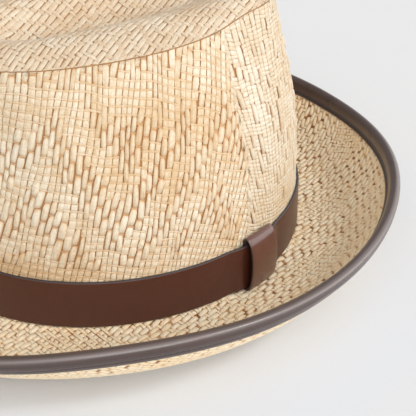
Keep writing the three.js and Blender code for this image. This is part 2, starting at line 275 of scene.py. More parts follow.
class Build:
    """Short hands for making nodes."""

    def __init__(self, tree):
        self.tree = tree

    def node(self, kind, **settings):
        n = self.tree.nodes.new(kind)
        for k, v in settings.items():
            setattr(n, k, v)
        return n

    def put(self, socket, value):
        if isinstance(value, bpy.types.NodeSocket):
            self.tree.links.new(value, socket)
        else:
            socket.default_value = value

    def field(self, name):
        return self.node("ShaderNodeAttribute", attribute_name=name).outputs["Fac"]

    def uv(self, scale, name="strand"):
        u = self.node("ShaderNodeUVMap", uv_map=name)
        m = self.node("ShaderNodeMapping")
        self.tree.links.new(u.outputs["UV"], m.inputs["Vector"])
        m.inputs["Scale"].default_value = scale
        return m.outputs["Vector"]

    def place(self, scale):
        t = self.node("ShaderNodeTexCoord")
        m = self.node("ShaderNodeMapping")
        self.tree.links.new(t.outputs["Object"], m.inputs["Vector"])
        m.inputs["Scale"].default_value = scale
        return m.outputs["Vector"]

    def noise(self, vector, scale=1.0, detail=2.0, roughness=0.5, distortion=0.0, dimensions="3D"):
        n = self.node("ShaderNodeTexNoise", noise_dimensions=dimensions)
        self.tree.links.new(vector, n.inputs["Vector"])
        n.inputs["Scale"].default_value = scale
        n.inputs["Detail"].default_value = detail
        n.inputs["Roughness"].default_value = roughness
        n.inputs["Distortion"].default_value = distortion
        return n.outputs["Fac"]

    def math(self, operation, a, b=0.0, clamp=False):
        n = self.node("ShaderNodeMath", operation=operation, use_clamp=clamp)
        self.put(n.inputs[0], a)
        self.put(n.inputs[1], b)
        return n.outputs[0]

    def spread(self, value, from_low, from_high, to_low=0.0, to_high=1.0):
        n = self.node("ShaderNodeMapRange", clamp=True)
        self.put(n.inputs["Value"], value)
        n.inputs["From Min"].default_value = from_low
        n.inputs["From Max"].default_value = from_high
        n.inputs["To Min"].default_value = to_low
        n.inputs["To Max"].default_value = to_high
        return n.outputs["Result"]

    def mix(self, share, a, b, blend="MIX"):
        n = self.node("ShaderNodeMix", data_type="RGBA", blend_type=blend)
        self.put(n.inputs[0], share)
        self.put(n.inputs[6], a if isinstance(a, bpy.types.NodeSocket) else (*a, 1.0))
        self.put(n.inputs[7], b if isinstance(b, bpy.types.NodeSocket) else (*b, 1.0))
        return n.outputs[2]

    def bump(self, height, distance, strength=1.0, normal=None):
        n = self.node("ShaderNodeBump")
        self.put(n.inputs["Height"], height)
        n.inputs["Distance"].default_value = distance
        n.inputs["Strength"].default_value = strength
        if normal is not None:
            self.tree.links.new(normal, n.inputs["Normal"])
        return n.outputs["Normal"]


def straw_material(name, pale, tan, gap_shade, shadow):
    """Split straw: fine fibres along each strand, every strand its own tone, and painted shade down between strands: a
    warm brown where the field deep is high, and the shadow colour in the deepest gaps.
    """
    m, tree, shader = nodes_of(name)
    b = Build(tree)
    fibres = b.noise(b.uv((3.2, 0.16, 1.0)), 1.0, 3.0, 0.6, 0.0, "2D")
    streaks = b.noise(b.uv((0.9, 0.05, 1.0)), 1.0, 2.0, 0.5, 0.0, "2D")
    blotch = b.noise(b.place((1.0, 1.0, 1.0)), 55.0, 3.0, 0.55)
    tone = b.field("tone")
    deep = b.field("deep")
    share = b.math("ADD", b.math("MULTIPLY", b.spread(fibres, 0.3, 0.72), 0.42),
                   b.math("MULTIPLY", b.spread(streaks, 0.32, 0.7), 0.33))
    share = b.math("ADD", share, b.math("MULTIPLY", tone, 0.42))
    share = b.math("ADD", share, b.spread(blotch, 0.3, 0.7, -0.22, 0.2))
    crumple = b.noise(b.place((1.0, 1.0, 1.0)), 950.0, 2.0, 0.6)
    share = b.math("ADD", share, b.spread(crumple, 0.32, 0.68, -0.20, 0.20))
    colour = b.mix(b.math("SUBTRACT", share, 0.12, True), pale, tan)
    # painted shade between strands: toward a warm brown (shade with painted bounce light) where deep is high, then the
    # shadow colour in the deepest gaps
    colour = b.mix(b.math("POWER", deep, 1.3), colour, gap_shade)
    colour = b.mix(b.spread(deep, 0.74, 1.0), colour, shadow)
    tree.links.new(colour, shader.inputs["Base Color"])
    rough = b.spread(fibres, 0.2, 0.8, 0.5, 0.72)
    tree.links.new(rough, shader.inputs["Roughness"])
    shader.inputs["Specular IOR Level"].default_value = 0.38
    shader.inputs["Sheen Weight"].default_value = 0.06
    shader.inputs["Sheen Roughness"].default_value = 0.5
    fine = b.noise(b.uv((6.5, 0.35, 1.0)), 1.0, 2.0, 0.55, 0.0, "2D")
    height = b.math("ADD", b.math("MULTIPLY", fibres, 0.65), b.math("MULTIPLY", fine, 0.35))
    soft = b.bump(crumple, 0.0005, 0.7)
    tree.links.new(b.bump(height, 0.00022, 0.8, soft), shader.inputs["Normal"])
    return m


def leather_material(name, colour, worn, edge_paint_and_highlight_colour, roughness=0.42, grain=900.0, relief=0.00006, coat=0.0):
    """Smooth finished leather with a fine grain, soft clouding, and the edge colour by the edge field: edge paint on
    the band and keeper, and on the binding a paler free edge and a painted highlight along the crest of its roll.
    """
    m, tree, shader = nodes_of(name)
    b = Build(tree)
    cloud = b.noise(b.place((1.0, 1.0, 1.0)), 34.0, 4.0, 0.6)
    mottle = b.noise(b.place((1.0, 1.0, 1.0)), 260.0, 3.0, 0.6)
    base = b.mix(b.spread(cloud, 0.3, 0.72, 0.0, 0.75), colour, worn)
    base = b.mix(b.spread(mottle, 0.35, 0.7, 0.0, 0.35), base, tuple(c * 0.72 for c in colour))
    # the edge field: edge paint, and on the binding a painted highlight along the crest of its roll
    base = b.mix(b.field("edge_paint_and_highlight"), base, edge_paint_and_highlight_colour)
    tree.links.new(base, shader.inputs["Base Color"])
    cells = b.node("ShaderNodeTexVoronoi", feature="SMOOTH_F1")
    tree.links.new(b.place((1.0, 1.0, 1.0)), cells.inputs["Vector"])
    cells.inputs["Scale"].default_value = grain
    cells.inputs["Smoothness"].default_value = 0.6
    pores = b.noise(b.place((1.0, 1.0, 1.0)), grain * 1.7, 3.0, 0.6)
    rough = b.math("ADD", b.spread(cloud, 0.3, 0.7, roughness - 0.05, roughness + 0.06),
                   b.spread(pores, 0.3, 0.7, -0.03, 0.04))
    tree.links.new(rough, shader.inputs["Roughness"])
    shader.inputs["Specular IOR Level"].default_value = 0.5
    if coat:
        shader.inputs["Coat Weight"].default_value = coat
        shader.inputs["Coat Roughness"].default_value = 0.28
    height = b.math("ADD", b.math("MULTIPLY", cells.outputs["Distance"], -0.8), b.math("MULTIPLY", pores, 0.5))
    waves = b.noise(b.place((1.0, 1.0, 1.0)), 60.0, 2.0, 0.5)
    normal = b.bump(waves, 0.0006, 0.25)
    tree.links.new(b.bump(height, relief, 0.7, normal), shader.inputs["Normal"])
    return m


CROWN_STRAW = straw_material("crown_straw", (0.81, 0.73, 0.578), (0.655, 0.465, 0.265), (0.55, 0.265, 0.085),
                             (0.17, 0.06, 0.014))
PLAIN_STRAW = straw_material("crown_plain_straw", (0.78, 0.71, 0.575), (0.62, 0.455, 0.268), (0.47, 0.225, 0.075),
                             (0.13, 0.048, 0.012))
TOP_STRAW = straw_material("crown_top_straw", (0.745, 0.655, 0.515), (0.60, 0.43, 0.265), (0.52, 0.27, 0.12),
                           (0.19, 0.07, 0.02))
BRIM_STRAW = straw_material("brim_straw", (0.975, 0.855, 0.64), (0.94, 0.70, 0.41), (0.56, 0.26, 0.08),
                            (0.20, 0.07, 0.016))
BAND_LEATHER = leather_material("band_leather", (0.066, 0.016, 0.0083), (0.080, 0.022, 0.012), (0.035, 0.033, 0.04),
                                0.42, 1000.0, coat=0.28)
KEEPER_LEATHER = leather_material("keeper_leather", (0.112, 0.038, 0.024), (0.134, 0.049, 0.032),
                                  (0.014, 0.012, 0.012), 0.33, 1000.0, coat=0.85)
BINDING_LEATHER = leather_material("binding_leather", (0.054, 0.030, 0.0245), (0.075, 0.044, 0.037),
                                   (0.28, 0.232, 0.215), 0.30, 1300.0, coat=0.42)


def thread_material():
    m, tree, shader = nodes_of("stitch_thread")
    b = Build(tree)
    twist = b.node("ShaderNodeTexWave", wave_type="BANDS", bands_direction="DIAGONAL")
    tree.links.new(b.uv((1.0, 1.0, 1.0)), twist.inputs["Vector"])
    twist.inputs["Scale"].default_value = 1.4
    colour = b.mix(twist.outputs["Fac"], (0.014, 0.010, 0.009), (0.045, 0.032, 0.028))
    tree.links.new(colour, shader.inputs["Base Color"])
    shader.inputs["Roughness"].default_value = 0.55
    tree.links.new(b.bump(twist.outputs["Fac"], 0.00012, 0.8), shader.inputs["Normal"])
    return m


THREAD = thread_material()

# ------------------------------------------------------------------ weaving

WEFT = 1.88      # pitch of the narrow strands on the crown's side
rng = np.random.default_rng(20)
ACROSS = {3: [-1.0, 0.0, 1.0], 4: [-1.0, -0.76, 0.76, 1.0]}
ALONG = {
    3: [-1.0, 0.0, 1.0], 4: [-1.0, -0.72, 0.72, 1.0], 5: [-1.0, -0.8, 0.0, 0.8, 1.0],
    6: [-1.0, -0.8, -0.3, 0.3, 0.8, 1.0], 7: [-1.0, -0.88, -0.55, 0.0, 0.55, 0.88, 1.0],
}


class Weave:
    """Collects strand pillows: each is the part of one strand that shows between two crossings."""

    def __init__(self, surface, pitch_u, pitch_v, flip=False):
        self.surface = surface      # (u, v) in strand counts -> points, unit normals, and whether each is on the cloth
        self.pitch_u, self.pitch_v = pitch_u, pitch_v
        self.flip = flip
        self.points, self.quads, self.uv, self.deep, self.tone = [], [], [], [], []
        self.count = 0

    def add(self, line, half_width, low, high, warp, lift, sink, tone, shade=1.0, across_n=4, along_n=4, taper=0.16,
            roll=0.0, slant=0.05, left=0.0, dark=0.0):
        """Pillows centred on a strand's line, from low to high along it. Warp pillows run along v, weft ones along u."""
        n = len(line)
        if n == 0:
            return
        a = np.array(ACROSS[across_n])[None, :, None]
        t = np.array(ALONG[along_n])[None, None, :]
        as_column = lambda x: np.broadcast_to(np.asarray(x, float), (n,))[:, None, None]
        line, half_width, low, high, lift, sink, roll, shade, dark = (
            as_column(x) for x in (line, half_width, low, high, lift, sink, roll, shade, dark))
        # a strand wanders a little from the straight, and its end is cut across at a slight slant
        slant = as_column(rng.normal(0, slant, n))
        across = a * (1 - taper * np.abs(t) ** 3) * half_width + slant * t * half_width
        along = (low + high) / 2 + t * (high - low) / 2 + 0 * a
        across = across + 0 * t
        u, v = (line + across, along) if warp else (along, line + across)
        wide, long = (self.pitch_u, self.pitch_v) if warp else (self.pitch_v, self.pitch_u)
        edge_at = 0.76 if across_n == 4 else 0.3
        end_at = ALONG[along_n][-2] if along_n < 6 else 0.7
        fall = np.maximum(np.clip((np.abs(a) - edge_at) / (1 - edge_at), 0, 1),
                          np.clip((np.abs(t) - end_at) / (1 - end_at), 0, 1) ** 1.4)
        bow = 1 - 0.30 * t**2 - 0.15 * a**2
        height = lift * bow * (1 - fall) - sink * fall - roll * a * (1 - 0.5 * fall)
        p, nrm, on = self.surface(u, v)
        p = p + nrm * height[..., None] * (-1 if self.flip else 1)
        good = on.mean(axis=(1, 2)) > 0.1
        if not good.any():
            return
        na, nl = across_n, along_n
        ids = np.arange(na * nl).reshape(na, nl)
        cell = np.stack([ids[:-1, :-1], ids[1:, :-1], ids[1:, 1:], ids[:-1, 1:]], -1).reshape(-1, 4)
        if warp == self.flip:
            cell = cell[:, ::-1]
        m = int(good.sum())
        quads = (self.count + np.arange(m)[:, None, None] * (na * nl) + cell[None]).reshape(-1, 4)
        jitter = rng.uniform(0, 400, (m, 1, 1))
        full = np.broadcast_to
        self.points.append(p[good].reshape(-1, 3))
        self.quads.append(quads)
        self.uv.append(np.stack([full(across * wide, on.shape)[good] + jitter,
                                 full(along * long, on.shape)[good] + jitter * 0.37], -1).reshape(-1, 2))
        # deep is painted shade: it grows toward a pillow's fringe by shade, is darker on the left edge by left (away
        # from the key light on the right), and is never below dark
        self.deep.append(full(np.maximum(fall * np.clip(shade * (1 - left * a), 0, 1), dark), on.shape)[good].reshape(-1))
        self.tone.append(np.repeat(np.broadcast_to(tone, (n,))[good], na * nl))
        self.count += m * na * nl

    def object(self, name, material, slot):
        return make_object(name, np.concatenate(self.points), np.concatenate(self.quads), material,
                           uv=np.concatenate(self.uv),
                           fields={"deep": np.concatenate(self.deep), "tone": np.concatenate(self.tone)})


def runs(over, axis, longest):
    """Line, start and length of each run of True along an axis of a 2-D array, long runs cut to the longest."""
    a = over if axis == 1 else over.T
    padded = np.zeros((a.shape[0], a.shape[1] + 2), bool)
    padded[:, 1:-1] = a
    change = np.diff(padded.astype(np.int8), axis=1)
    line, start = np.nonzero(change == 1)
    length = np.nonzero(change == -1)[1] - start
    while (length > longest).any():
        big = length > longest
        line = np.concatenate([line, line[big]])
        start = np.concatenate([start, start[big] + longest])
        length = np.concatenate([np.where(big, longest, length), length[big] - longest])
    return line, start, length


def strand_tones(n):
    return np.clip(rng.normal(0.42, 0.22, n), 0, 1)


def scattered(n, low=0.75, high=1.25):
    return rng.uniform(low, high, n)


# ---- the crown's side: four sectors of cloth that meet on four corner lines

# from and to in phi, the pitch of the broad strands, how many degrees they turn at the sector's start, and whether the
# cloth is plain, each strand over one and under one
SECTORS = [(15.0, 105.0, 3.0, 22, False), (105.0, 195.0, 3.1, -12, True), (195.0, 285.0, 3.0, 22, False),
           (285.0, 375.0, 3.1, -12, True)]
# how many degrees a warp turns over the whole height, and how steeply the wefts fall, across a sector
TURN = ([0.2, 0.29, 0.37, 0.45, 0.53, 0.61, 0.69, 0.77, 0.85, 0.93, 1.0], [25, 28, 26, 24, 25, 24, 24, 26, 32, 36, 38])
DROP = ([0, 0.15, 0.27, 0.45, 0.7, 0.95, 1.0], [20, 12, 2, 9, 15, 27, 28])
# the band of long floats in a sector: how high its middle line runs, along the cloth
ZIGZAG = ([-12, 37, 76, 122, 160], [45, 97, 50, 120, 82])
BAND_PERIOD, BAND_SHARE = 33.0, 0.53


def corner_line(phi, share):
    return phi + 9.0 * (np.asarray(share) - 0.25)


class SideCloth:
    def __init__(self, start, stop, pitch, first_turn, inner=False):
        self.start, self.stop, self.pitch, self.inner = start, stop, pitch, inner
        reach = [0.0, 0.14] if first_turn > 0 else [0.0, 0.18]
        self.turn = (reach + list(TURN[0][1:] if first_turn > 0 else TURN[0][2:]),
                     [first_turn, 0.45 * first_turn + 0.55 * 25] + list(TURN[1][1:] if first_turn > 0 else TURN[1][2:]))
        self.fine = np.linspace(start - 60, stop + 60, 1801)
        line = wall(self.fine, 0.5)
        arc = np.concatenate([[0], np.cumsum(np.linalg.norm(np.diff(line, axis=0), axis=1))])
        self.arc = arc - np.interp(start, self.fine, arc)
        q = np.clip((self.fine - start) / (stop - start), 0, 1)
        slope = np.tan(np.radians(np.interp(q, *DROP)))
        drop = np.concatenate([[0], np.cumsum(0.5 * (slope[1:] + slope[:-1]) * np.diff(self.arc))])
        self.drop = drop - np.interp(start, self.fine, drop)
        self.height = CREASE_UP * 1.02
        self.total = np.interp(stop, self.fine, self.arc)
        self.fall = np.interp(stop, self.fine, self.drop)

    def where(self, u, v):
        phi_mid = np.interp(u * self.pitch, self.arc, self.fine)
        turn = np.interp(np.clip((phi_mid - self.start) / (self.stop - self.start), 0, 1), *self.turn)
        share = np.full(np.shape(u), 0.5)
        for _ in range(10):
            phi = phi_mid + turn * (share - 0.5)
            share = 0.5 * share + 0.5 * (v * WEFT - np.interp(phi, self.fine, self.drop)) / self.height
        phi = phi_mid + turn * (share - 0.5)
        # blocked straw is pulled a little out of line
        phi = phi + 0.30 * np.sin(0.33 * phi + 7 * share) + 0.22 * np.sin(0.71 * phi - 17 * share + 2)
        share = share + 0.0028 * np.sin(0.29 * phi - 11 * share) + 0.0022 * np.sin(0.63 * phi + 19 * share + 1)
        return phi, share

    def __call__(self, u, v):
        phi, share = self.where(u, v)
        low, high = corner_line(self.start, share) - 0.7, corner_line(self.stop, share) + 0.7
        foot = 0.002 if self.inner else 0.14        # outside, the leather band covers the straw below this
        on = (phi > low) & (phi < high) & (share < 0.9972) & (share > foot)
        phi = np.clip(phi, low + 0.1, high - 0.1)
        share = np.clip(share, foot, 0.9972)
        p = wall(phi, share)
        across = wall(phi + 0.05, share) - wall(phi - 0.05, share)
        up = wall(phi, np.minimum(share + 0.002, 1.0)) - wall(phi, np.maximum(share - 0.002, 0.0))
        n = np.cross(across, up)
        n /= np.linalg.norm(n, axis=-1, keepdims=True)
        if self.inner:
            p = p - n * STRAW
        return p, n, on


# where the straw of the side is browner (above 0) or paler (below 0): direction, its reach, height, its reach, how much
BROWNER_PATCHES = [(84, 24, 0.70, 0.19, 1.05), (45, 14, 0.82, 0.07, 0.35), (32, 34, 0.22, 0.06, 1.5), (44, 13, 0.58, 0.16, -0.5),
       (62, 25, 0.38, 0.10, -0.4), (118, 13, 0.66, 0.20, -0.6), (107, 10, 0.27, 0.08, 0.5),
       (128, 14, 0.24, 0.07, 0.4)]


def browner_patches(phi, share):
    total = 0.0
    for p, p_reach, h, h_reach, amount in BROWNER_PATCHES:
        total = total + amount * np.exp(-((phi - p) / p_reach) ** 2 - ((share - h) / h_reach) ** 2)
    return total


def weave_side(inner=False):
    made = []
    for start, stop, pitch, first_turn, plain in SECTORS:
        cloth = SideCloth(start, stop, pitch, first_turn, inner)
        weave = Weave(cloth, pitch, WEFT, flip=inner)
        i0, i1 = -int(50 / pitch), int((cloth.total + 55) / pitch)
        j0, j1 = (-8 if inner else int(0.12 * cloth.height / WEFT) - 4), int((cloth.height + cloth.fall) / WEFT) + 6
        i, j = np.meshgrid(np.arange(i0, i1), np.arange(j0, j1), indexing="ij")
        phi, share = cloth.where(i.astype(float), j.astype(float))
        up = share * cloth.height
        away = (up - np.interp(i * pitch, *ZIGZAG)) / BAND_PERIOD + rng.normal(0, 0.018, up.shape)
        near_peak = np.exp(-((i * cloth.pitch - 78) / 12) ** 2) * 0.07
        band = np.abs((away + 0.5) % 1 - 0.5) < BAND_SHARE / 2 + near_peak
        band &= (share > 0.26 + rng.normal(0, 0.02, up.shape)) & (share < 0.84 + rng.normal(0, 0.02, up.shape))
        # broad strands over four narrow ones in the zigzag bands; elsewhere over every other one
        over = np.where(band, (j - 2 * i) % 5 != 0, j % 2 == 0)
        slip = rng.uniform(0, 1, over.shape)
        over = over | (~band & (slip < 0.035))
        # by the crease the broad strands run on, over four
        crease = share > 0.96 + rng.normal(0, 0.015, up.shape)
        over = np.where(crease, (j - 2 * i) % 5 != 0, over)
        if plain:
            over = ((i + j) % 2 == 0) | (slip < 0.21)
        over &= ~((share < 0.26) & (j % 2 == 1))
        if not plain:
            over[:, 1:] |= ~over[:, 1:] & ~over[:, :-1]
        near = (share > (-0.03 if inner else 0.10)) & (share < 1.03) & (phi > corner_line(start, share) - 4) & (phi < corner_line(stop, share) + 4)
        warp_tone, weft_tone = strand_tones(i1 - i0), strand_tones(j1 - j0)
        patch_tone = browner_patches(phi, share)
        relief = np.clip((0.97 - share) / 0.22, 0.15, 1)
        line, begin, length = runs(over & near, 1, 6)
        for count in np.unique(length):
            k = length == count
            n = int(k.sum())
            stands = relief[line[k], np.minimum(begin[k] + count // 2, share.shape[1] - 1)]
            long = count >= 3
            lift = (0.12 + ({1: 0.15, 2: 0.34}.get(int(count), 0.60) - 0.12) * stands) * scattered(n, 0.6, 1.35)
            end = 0.93 * scattered(n, 0.9, 1.06) if long else (0.56 if plain else 0.79) * scattered(n, 0.97, 1.03)
            # some floats lie high with painted shade in the gap beside them, others close up; long floats are painted
            # darker on their left edge, the side away from the key light
            raised = rng.uniform(0, 1, n) < 0.52 * stands
            lift = lift * np.where(raised, 1.3, 0.9)
            weave.add(line[k] + i0 + rng.normal(0, 0.06 if long else 0.02, n),
                      (0.45 if plain else 0.515) * scattered(n, 0.84, 1.12) if long else 0.487 * scattered(n, 0.95, 1.04), begin[k] + j0 - end,
                      begin[k] + j0 + count - 1 + end, True, lift, (0.50 if plain else 0.44) if long else 0.13,
                      warp_tone[line[k]] + rng.normal(0, 0.14, n) + patch_tone[line[k], begin[k]], np.where(raised | plain, 1.0, 0.72) if long else 0.62,
                      3 if inner else 4, 3 if inner else (4 if count == 1 else 5 if count == 2 else 7),
                      0.08 if count == 1 else 0.26, (rng.normal(0.24, 0.09, n) * stands if long else 0.06),
                      0.16 if long else 0.03, 0.5 if long else 0.1)
        # a narrow strand shows only where it crosses over, and lies deep between the ends of two floats, painted dark
        # there as shade
        padded = np.pad(over, ((0, 0), (3, 3)), constant_values=True)
        inside = padded[:, 1:-5] & padded[:, 2:-4] & padded[:, 4:-2] & padded[:, 5:-1]
        line, begin, length = runs(~over & near, 0, 1)
        n = len(line)
        low = inside[begin, line]
        if plain:
            weave.add(line + j0 + rng.normal(0, 0.02, n), 0.47 * scattered(n, 0.92, 1.06), begin + i0 - 0.53,
                      begin + i0 + 0.53, False, 0.16 * scattered(n), 0.13,
                      weft_tone[line] + 0.12 + rng.normal(0, 0.14, n) + patch_tone[begin, line], 0.60, 3 if inner else 4,
                      3 if inner else 4, 0.06)
        else:
            weave.add(line + j0 + rng.normal(0, 0.02, n), np.where(low, 0.22, 0.28) * scattered(n, 0.9, 1.1),
                      begin + i0 - 0.52, begin + i0 + 0.52, False, np.where(low, -0.30, -0.05) * scattered(n),
                      np.where(low, 0.2, 0.26), weft_tone[line] + 0.45 + rng.normal(0, 0.12, n) + patch_tone[begin, line],
                      np.where(low, 0.95, 0.66), 3 if inner else 4, 3 if inner else 4, 0.06,
                      dark=np.where(low, 0.70, 0.10))
        made.append(weave)
    return made


# ---- the crown's top: one flat cloth, blocked down into the dent

def top_field():
    phis = np.arange(0, 360, 2.0)
    shares = np.concatenate([np.linspace(1, CREST_AT, 12), np.linspace(CREST_AT, 0, 26)[1:]])
    p = crown_top(phis[None, :], shares[:, None])
    quads = grid_quads(len(shares), len(phis), close_columns=True)
    tree = BVHTree.FromPolygons([tuple(x) for x in p.reshape(-1, 3)], [tuple(int(k) for k in q) for q in quads])
    rim = wall(np.arange(0, 360, 0.5), 1.0)
    rim_angle = np.arctan2(rim[:, 1] - CREASE_Y, rim[:, 0])
    rim_reach = np.hypot(rim[:, 0], rim[:, 1] - CREASE_Y)
    order = np.argsort(rim_angle)
    rim_angle, rim_reach = rim_angle[order], rim_reach[order]

    def at(x, y):
        angle = np.arctan2(y - CREASE_Y, x)
        reach = np.hypot(x, y - CREASE_Y)
        most = np.interp(angle, rim_angle, rim_reach, period=2 * np.pi) - 0.24
        on = reach < most
        reach = np.minimum(reach, most)
        x, y = reach * np.cos(angle), CREASE_Y + reach * np.sin(angle)
        flat_x, flat_y = x.ravel(), y.ravel()
        z = np.empty(flat_x.shape)
        n = np.empty((len(flat_x), 3))
        for k in range(len(flat_x)):
            hit, normal, _, _ = tree.ray_cast((flat_x[k], flat_y[k], 400.0), (0.0, 0.0, -1.0))
            if hit is None:
                hit, normal, _, _ = tree.find_nearest((flat_x[k], flat_y[k], 121.0))
            z[k] = hit[2]
            n[k] = normal if normal[2] > 0 else -normal
        return np.stack([x, y, z.reshape(x.shape)], -1), n.reshape(*x.shape, 3), on

    return at


def lay_flat(weave, over, near, i0, j0, coarse, lift_one, lift_more, sink, longest, half=0.48, shade=0.8, pin=None,
             over_end=0.58, slant=0.06, roll=0.0, browner_and_shade=0.0, left=0.0, holes=0.0):
    """Lays both strand sets of a flat cloth. pin is the depth of a single crossing strand, where it isn't to stand up."""
    browner_and_shade, holes = np.broadcast_to(browner_and_shade, over.shape), np.broadcast_to(holes, over.shape)
    # at a slit the strand ends come close together, at a slant, and the crossing strand lies deep, painted dark as
    # shade
    slits = np.pad(rng.uniform(0, 1, over.shape) < holes, ((0, 0), (1, 1)))
    for warp in (True, False):
        line, start, length = runs((over if warp else ~over) & near, 1 if warp else 0, longest)
        tones = strand_tones(over.shape[0] if warp else over.shape[1])
        line_0, start_0 = (i0, j0) if warp else (j0, i0)
        for count in np.unique(length):
            k = length == count
            n = int(k.sum())
            lift = (lift_one if count == 1 else lift_more) * scattered(n)
            deep, dark = shade, 0.0
            if pin is not None and not warp and count == 1:
                hole = slits[start[k], line[k] + 1]
                lift = np.where(hole, pin, -0.04 + 0.08 * lift)
                deep, dark = np.where(hole, 1.0, shade), np.where(hole, rng.uniform(0.6, 1.0, n), 0.0)
            before = after = 0.0
            if warp:
                before = 0.17 * slits[line[k], start[k]]
                after = 0.17 * slits[line[k], start[k] + count + 1]
            weave.add(line[k] + line_0 + rng.normal(0, 0.035, n), half * scattered(n, 0.9, 1.06),
                      start[k] + start_0 - over_end * scattered(n, 0.88, 1.1) - before,
                      start[k] + start_0 + count - 1 + over_end * scattered(n, 0.88, 1.1) + after, warp, lift, sink,
                      tones[line[k]] + (browner_and_shade[line[k], start[k]] if warp else browner_and_shade[start[k], line[k]])
                      + rng.normal(0, 0.12, n), deep, 3 if coarse else 4, 3 if coarse else (4 if count == 1 else 5 if count == 2 else 6),
                      0.14 if count == 1 else 0.24, roll * (count > 1), slant, left, dark)


def weave_top(inner=False):
    at = top_field()
    turn = math.radians(-60.0)
    cos, sin = math.cos(turn), math.sin(turn)
    pitch_u, pitch_v = 2.15, 2.6

    def surface(u, v):
        a, b = u * pitch_u, v * pitch_v
        p, n, on = at(a * cos - b * sin, CREASE_Y + a * sin + b * cos)
        if inner:
            p = p - n * STRAW
        return p, n, on

    weave = Weave(surface, pitch_u, pitch_v, flip=inner)
    reach = 96
    i0, i1 = -int(reach / pitch_u), int(reach / pitch_u)
    j0, j1 = -int(reach / pitch_v), int(reach / pitch_v)
    i, j = np.meshgrid(np.arange(i0, i1), np.arange(j0, j1), indexing="ij")
    # the cloth lies over three and under one, in a broken twill, and finer down in the dent
    step = np.where((j // 7) % 2 == 0, 1, -1)
    over = (i + step * j + (j // 7)) % 4 == 0
    # keep only the part near the top's outline, so that few strands are tried and dropped
    a, b = i * pitch_u, j * pitch_v
    x, y = a * cos - b * sin, a * sin + b * cos
    near = (np.abs(x) < 56) & (np.abs(y) < 96)
    # the straw is painted browner and darker down in the dent: a browner tone with painted shade in the hollow
    browner_and_shade = 0.18 + 0.55 * np.exp(-(x / 26) ** 2 - ((y - 6) / 52) ** 2)
    lay_flat(weave, over, near, i0, j0, inner, 0.08, 0.20, 0.17, 3, shade=0.36, slant=0.10, browner_and_shade=browner_and_shade)
    return weave


# ---- the brim: one flat cloth, its strands straight across the whole brim, then curled up at the rim

def unroll(x, y):
    """Direction phi and distance from the head oval of flat points."""
    phi = np.degrees(np.arctan2(x / (HEAD_SIDE + 30), -y / (HEAD_FRONT_BACK + 30)))
    for _ in range(8):
        p = np.radians(phi)
        ex, ey = HEAD_SIDE * np.sin(p), -HEAD_FRONT_BACK * np.cos(p)
        tx, ty = HEAD_SIDE * np.cos(p), HEAD_FRONT_BACK * np.sin(p)
        dx, dy = x - ex, y - ey
        g = dx * tx + dy * ty
        slope = -(tx * tx + ty * ty) + dx * (-HEAD_SIDE * np.sin(p)) + dy * (HEAD_FRONT_BACK * np.cos(p))
        phi = phi - np.degrees(np.clip(g / slope, -0.4, 0.4))
    p = np.radians(phi)
    nx, ny = outward(phi, HEAD_FRONT_BACK, HEAD_SIDE)
    out = (x - HEAD_SIDE * np.sin(p)) * nx + (y + HEAD_FRONT_BACK * np.cos(p)) * ny
    return phi, out


def weave_brim(under=False):
    turn = math.radians(13.0)
    cos, sin = math.cos(turn), math.sin(turn)
    pitch_u, pitch_v = 2.6, 1.85

    def place(phi, along, above):
        return brim_point(phi, along, above, swell=not under)

    def surface(u, v):
        a, b = u * pitch_u, v * pitch_v
        phi, along = unroll(a * cos - b * sin, a * sin + b * cos)
        length = brim_shape(phi)[3]
        on = (along > (0.4 if not under else -STRAW + 0.2)) & (along < length - 3.0)
        along = np.clip(along, 0.4 if not under else -STRAW + 0.1, length - 2.2)
        above = -STRAW if under else 0.0
        p = place(phi, along, above)
        side = place(phi + 0.1, along, above) - place(phi - 0.1, along, above)
        out = place(phi, along + 0.1, above) - place(phi, along - 0.1, above)
        n = np.cross(out, side)
        n /= np.linalg.norm(n, axis=-1, keepdims=True)
        return p, n, on

    weave = Weave(surface, pitch_u, pitch_v, flip=under)
    reach = 172
    i0, i1 = -int(reach / pitch_u), int(reach / pitch_u)
    j0, j1 = -int(reach / pitch_v), int(reach / pitch_v)
    i, j = np.meshgrid(np.arange(i0, i1), np.arange(j0, j1), indexing="ij")
    a, b = i * pitch_u, j * pitch_v
    x, y = a * cos - b * sin, a * sin + b * cos
    phi, along = unroll(x, y)
    near = (along > (-6.0 if under else -2.5)) & (along < brim_shape(phi)[3] + 1.0)
    # broad strands over three in a broken twill, with patches where they go over every other one
    broken = np.array([0, 2, 3, 1])[i % 4]
    over = (j + broken) % 4 != 0
    patch = np.sin(i * 0.33 + 1.3 * np.sin(j * 0.09)) + np.sin(j * 0.21 - i * 0.08) > 0.95
    over = np.where(patch, j % 2 == 0, over)
    # slits painted dark as shade, most of them on the wearer's left and towards the back
    holes = np.clip(0.22 + 0.34 * x / 140 + 0.34 * y / 160 + 0.14 * np.sin(0.11 * x + 0.07 * y), 0.05, 0.75)
    if under:
        lay_flat(weave, over, near, i0, j0, False, 0.0, 0.0, 0.45, 3, shade=0.9, pin=-0.3, holes=holes * 0.5)
    else:
        lay_flat(weave, over, near, i0, j0, False, 0.10, 0.36, 0.40, 3, shade=0.95, pin=-0.36, slant=0.24,
                 roll=0.16, left=0.25, holes=holes)
    return weave


# ------------------------------------------------------------------ cores: the straw under the strands, coloured with painted shade where it shows between them

